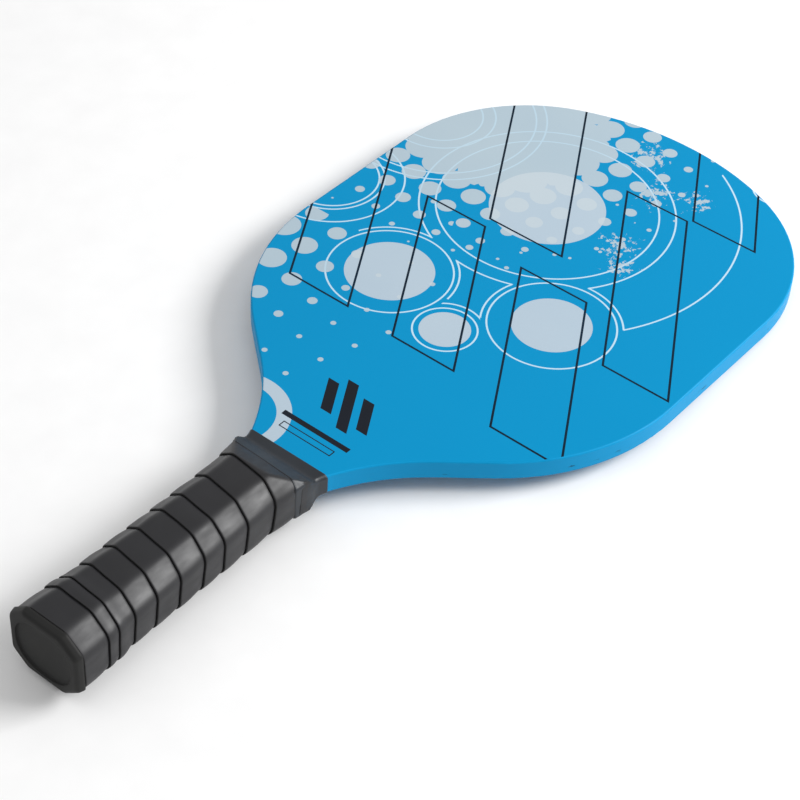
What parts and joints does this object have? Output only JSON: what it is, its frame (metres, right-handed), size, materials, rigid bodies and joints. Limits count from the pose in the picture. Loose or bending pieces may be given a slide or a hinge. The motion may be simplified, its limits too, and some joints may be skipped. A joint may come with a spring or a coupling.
{
  "type": "pickleball paddle",
  "caption": "Wooden pickleball paddle: laminated eased-edge blade with printed faces, eight-sided taped handle, finishing band at the throat and a moulded butt cap.",
  "frame": {"origin": "Bottom centre of the bounding box. The paddle lies flat with its blade level; the lowest point is the grip under the butt cap's skirt.", "axes": "+X from the butt to the tip of the head, +Y across the blade (left when looking from the butt to the tip), +Z out of the front printed face"},
  "size_m": [0.408, 0.1952, 0.0312],
  "materials": {
    "face_print": "satin printed film",
    "face_veneer": "wood veneer with a painted rim",
    "core_ply": "wood ply with a painted rim",
    "handle_wood": "bare sanded wood",
    "cap_plastic": "matt moulded",
    "staple_wire": "plain wire",
    "grip_tape": "smooth satin",
    "band_tape": "smooth satin"
  },
  "bodies": {
    "root": {"front_graphic_film": "face_print", "front_face_veneer": "face_veneer", "front_crossband": "core_ply", "front_long_ply": "core_ply", "centre_crossband": "core_ply", "rear_long_ply": "core_ply", "rear_crossband": "core_ply", "rear_face_veneer": "face_veneer", "rear_graphic_film": "face_print", "front_handle_scale": "handle_wood", "rear_handle_scale": "handle_wood", "butt_cap": "cap_plastic", "butt_cap_staples": "staple_wire", "grip_tape": "grip_tape", "finishing_band": "band_tape"}
  },
  "joints": []
}
